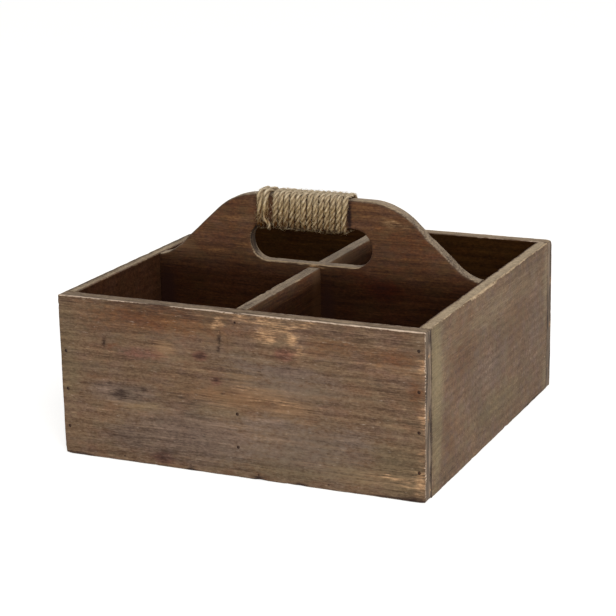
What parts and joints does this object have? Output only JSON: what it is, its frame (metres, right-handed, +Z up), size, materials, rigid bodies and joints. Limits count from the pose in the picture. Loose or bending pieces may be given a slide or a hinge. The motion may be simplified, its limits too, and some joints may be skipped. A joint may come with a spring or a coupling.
{
  "type": "utensil caddy",
  "caption": "Square open wooden caddy of nailed stained boards, split into compartments by a low divider and a tall curved handle board with a twine-bound hand hole.",
  "frame": {"origin": "centre of the underside, on the surface that the caddy stands on", "axes": "+Z up; +X to the right along the handle board; -Y is the front, which has the same board as the back"},
  "size_m": [0.3, 0.3, 0.1896],
  "materials": {
    "stained_fir": "dark brown stain, worn",
    "brad_steel": "darkened",
    "jute_twine": "natural, hairy"
  },
  "bodies": {
    "root": {"front_board": "stained_fir", "back_board": "stained_fir", "left_board": "stained_fir", "right_board": "stained_fir", "handle_board": "stained_fir", "cross_divider": "stained_fir", "floor_plank_1": "stained_fir", "floor_plank_2": "stained_fir", "floor_plank_3": "stained_fir", "front_left_corner_nails": "brad_steel", "front_right_corner_nails": "brad_steel", "back_left_corner_nails": "brad_steel", "back_right_corner_nails": "brad_steel", "front_divider_nails": "brad_steel", "back_divider_nails": "brad_steel", "left_handle_nails": "brad_steel", "right_handle_nails": "brad_steel", "front_floor_nails": "brad_steel", "back_floor_nails": "brad_steel", "left_floor_nails": "brad_steel", "right_floor_nails": "brad_steel", "twine_binding": "jute_twine"}
  },
  "joints": []
}
